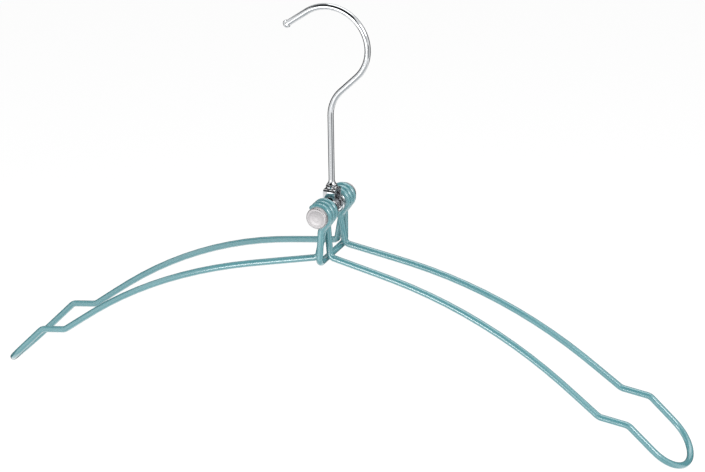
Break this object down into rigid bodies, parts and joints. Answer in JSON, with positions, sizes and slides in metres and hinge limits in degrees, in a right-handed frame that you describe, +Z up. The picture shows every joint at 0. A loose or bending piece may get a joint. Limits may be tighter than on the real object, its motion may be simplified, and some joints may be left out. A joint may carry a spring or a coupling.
{
  "type": "folding clothes hanger",
  "caption": "Folding clothes hanger of coated wire: hairpin arms with strap notches pivot on a pin under a chromed swivel hook and fold up beside it.",
  "frame": {"origin": "the hook's seat: the inside of its crown, where the hanger rests on a rod", "axes": "+Z up; the arms lie along X, with the hook's mouth towards -X; the pivot pin lies along Y, with its front cap towards -Y"},
  "size_m": [0.4177, 0.0477, 0.2441],
  "materials": {
    "teal_coating": "smooth gloss coating on steel wire",
    "chrome_plate": "bright chrome plate",
    "satin_cap": "satin",
    "zinc_steel": "zinc plate"
  },
  "bodies": {
    "hook": {"hook": "chrome_plate", "lower_washer": "zinc_steel"},
    "bracket": {"bracket": "chrome_plate", "upper_washer": "chrome_plate", "pivot_pin": "zinc_steel", "front_cap": "satin_cap", "rear_cap": "satin_cap", "front_spacer": "chrome_plate", "rear_spacer": "chrome_plate"},
    "stirrup": {"stop_stirrup": "teal_coating"},
    "left_arm": {"left_arm": "teal_coating"},
    "right_arm": {"right_arm": "teal_coating"}
  },
  "joints": [
    {"name": "hook_swivel", "type": "hinge", "parent": "hook", "child": "bracket", "pos_m": [0, 0, -0.1035], "axis": [0, 0, 1], "continuous": true},
    {"name": "right_arm_fold", "type": "hinge", "parent": "bracket", "child": "right_arm", "pos_m": [0, 0, -0.1137], "axis": [0, -1, 0], "range_deg": [0, 115]},
    {"name": "left_arm_fold", "type": "hinge", "parent": "bracket", "child": "left_arm", "pos_m": [0, 0, -0.1137], "axis": [0, 1, 0], "range_deg": [0, 115]},
    {"name": "stirrup_play", "type": "hinge", "parent": "bracket", "child": "stirrup", "pos_m": [0, 0, -0.1137], "axis": [0, 1, 0], "range_deg": [-0.5, 0.5]}
  ]
}
